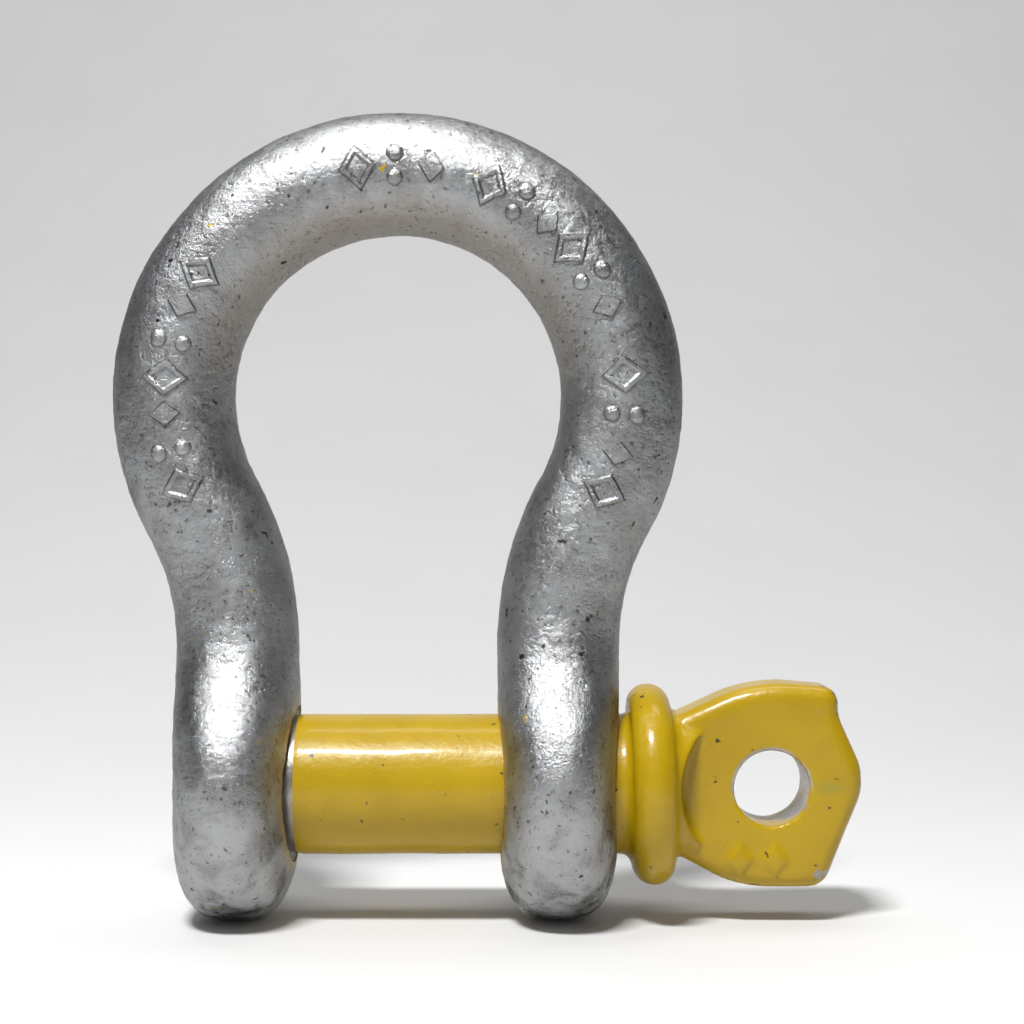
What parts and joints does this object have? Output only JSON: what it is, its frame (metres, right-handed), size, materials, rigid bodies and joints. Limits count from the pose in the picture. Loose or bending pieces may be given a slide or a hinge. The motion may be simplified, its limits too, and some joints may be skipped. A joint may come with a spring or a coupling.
{
  "type": "bow shackle",
  "caption": "Forged bow shackle with a screw pin: a round-bar bow with two ears, closed by a pin with a collar and a flat holed eye.",
  "frame": {"origin": "on the pin's axis, in the middle of the jaw between the ears", "axes": "+X along the pin to its eye, which is the way it draws out; +Z to the crown of the bow; Y through the shackle's thickness"},
  "size_m": [0.102, 0.0366, 0.11],
  "materials": {
    "bow_body": "hot-dip galvanised, mottled grey",
    "screw_pin": "glossy yellow enamel"
  },
  "bodies": {
    "bow": {"bow_body": "bow_body"},
    "pin": {"screw_pin": "screw_pin"}
  },
  "joints": [
    {"name": "pin_withdraw", "type": "slide", "parent": "bow", "child": "pin", "axis": [1, 0, 0], "range_m": [0, 0.09]}
  ]
}
